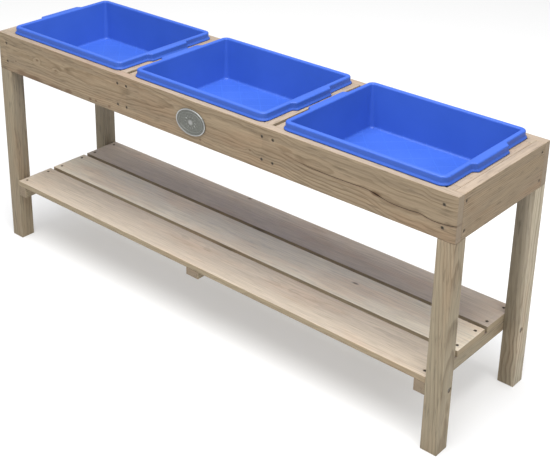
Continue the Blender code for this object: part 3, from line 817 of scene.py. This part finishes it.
def make_fasteners():
    screw_steel = steel("dulled screw steel", (0.20, 0.175, 0.14), 0.42)
    bolt_steel = steel("zinc bolt steel", (0.42, 0.40, 0.36), 0.34)
    meshes = {}
    for node in sorted(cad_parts):
        if "screw" not in node and not node.startswith("leg_bolt"):
            continue
        direction = fastener_direction(node)
        low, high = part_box(node)
        length = abs((high - low).dot(direction))
        head = (low + high) / 2 - direction * length / 2
        is_bolt = node.startswith("leg_bolt")
        key = (is_bolt, round(length, 4))
        if key not in meshes:
            shape = bolt_bmesh(length) if is_bolt else screw_bmesh(length)
            source = new_object("fastener shape", shape, 30)
            meshes[key] = source.data
            bpy.data.objects.remove(source)
        material = bolt_steel if is_bolt else screw_steel
        place_fastener(f"steel_{node}", meshes[key], head, direction, material, node)
        if node.startswith("front_rail_screw"):
            mirrored = Vector((head.x, -head.y, head.z))
            name = node.replace("front_rail", "back_rail")
            place_fastener(f"steel_{name}", meshes[key], mirrored, -direction, material)

    source = new_object("batten screw shape", dome_bmesh(), 30)
    dome = source.data
    bpy.data.objects.remove(source)
    batten_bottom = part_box("shelf_batten_middle")[0].z
    for plank in PLANKS:
        low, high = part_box(plank)
        for side, sx in (("left", -1), ("right", 1)):
            across = (low.y + high.y) / 2 + sx * BATTEN_SCREW_SPREAD
            place = Vector((sx * BATTEN_SCREW_OFFSET, across, batten_bottom))
            name = f"steel_middle_batten_screw_{plank[12:]}_{side}"
            place_fastener(name, dome, place, (0, 0, 1), screw_steel)


# ---------------------------------------------------------------- badge


def badge_metal():
    material, tree, shader = new_material("cast badge metal")
    position = add(tree, "TexCoord").outputs["Object"]
    cast = noise(tree, position, 300.0, 4.0, 0.6, 4.0).outputs[0]
    height = add(tree, "SeparateXYZ", {0: position}).outputs["Y"]
    raised = smooth_step(tree, height, LOW.y + BADGE_DISH * 0.75, LOW.y + BADGE_DISH * 0.2)
    dull = mix(tree, smooth_step(tree, cast, 0.3, 0.7), (0.15, 0.155, 0.14), (0.215, 0.22, 0.2))
    color = mix(tree, raised, dull, (0.40, 0.40, 0.395))
    tree.links.new(color, shader.inputs["Base Color"])
    shader.inputs["Metallic"].default_value = 0.85
    tree.links.new(smooth_step(tree, raised, 0, 1, 0.55, 0.32), shader.inputs["Roughness"])
    bump = add(tree, "Bump", {"Height": cast, "Strength": 0.3, "Distance": 0.0002})
    tree.links.new(bump.outputs[0], shader.inputs["Normal"])
    return material


def oval_ring(bm, centre, half, inset, depth, sides=72):
    ring = []
    for step in range(sides):
        angle = 2 * math.pi * step / sides
        x = centre.x + (half.x - inset) * math.cos(angle)
        z = centre.z + (half.y - inset) * math.sin(angle)
        ring.append(bm.verts.new((x, depth, z)))
    return ring


def make_badge():
    """An oval plate with a rounded rim, a dished field and a plain sun with short rays."""
    low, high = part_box("badge")
    centre = (low + high) / 2
    half = Vector(((high.x - low.x) / 2, (high.z - low.z) / 2))
    front = low.y
    bm = bmesh.new()
    rings = [oval_ring(bm, centre, half, 0, high.y), oval_ring(bm, centre, half, 0, front + BADGE_ROUNDING)]
    for angle in quarter(0, 4)[1:]:
        inset = BADGE_ROUNDING * (1 - math.cos(angle))
        rings.append(oval_ring(bm, centre, half, inset, front + BADGE_ROUNDING * (1 - math.sin(angle))))
    rings.append(oval_ring(bm, centre, half, BADGE_RIM - 0.0008, front))
    rings.append(oval_ring(bm, centre, half, BADGE_RIM - 0.0002, front + 0.0003))
    rings.append(oval_ring(bm, centre, half, BADGE_RIM + 0.0008, front + BADGE_DISH))
    rings.append(oval_ring(bm, centre, half, BADGE_RIM + 0.0050, front + BADGE_DISH))
    rings.append(oval_ring(bm, centre, half, BADGE_RIM + 0.0056, front + BADGE_DISH * 0.55))
    rings.append(oval_ring(bm, centre, half, BADGE_RIM + 0.0066, front + BADGE_DISH * 0.55))
    rings.append(oval_ring(bm, centre, half, BADGE_RIM + 0.0072, front + BADGE_DISH))
    loft(bm, rings)
    sun = Vector((SUN_RADIUS, SUN_RADIUS))
    field = front + BADGE_DISH + 0.0001
    disc = []
    for angle in quarter(0, 4)[:-1]:
        inset = SUN_RADIUS * (1 - math.cos(angle))
        disc.append(oval_ring(bm, centre, sun, inset, field - SUN_HEIGHT * math.sin(angle), 40))
    loft(bm, disc)
    for step in range(SUN_RAYS):
        angle = 2 * math.pi * step / SUN_RAYS
        way = Vector((math.cos(angle), 0, math.sin(angle)))
        side = Vector((-math.sin(angle), 0, math.cos(angle)))
        ray = []
        for share, rise in ((0, field), (0.6, field - RAY_HEIGHT)):
            start = centre + way * (RAY_START + 0.0006 * share)
            end = centre + way * (RAY_END - 0.0010 * share)
            wide = side * RAY_HALF_WIDTH * (1 - 0.6 * share)
            corners = (start - wide, end - wide * 0.4, end + wide * 0.4, start + wide)
            ray.append([bm.verts.new((corner.x, rise, corner.z)) for corner in corners])
        loft(bm, ray)
    bmesh.ops.recalc_face_normals(bm, faces=bm.faces)
    piece = new_object("oval_badge", bm, 35)
    piece.data.materials.append(badge_metal())
    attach(piece, TABLE)
    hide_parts("badge")


add_camera()
add_stage()
make_boards()
make_tubs()
make_fasteners()
make_badge()
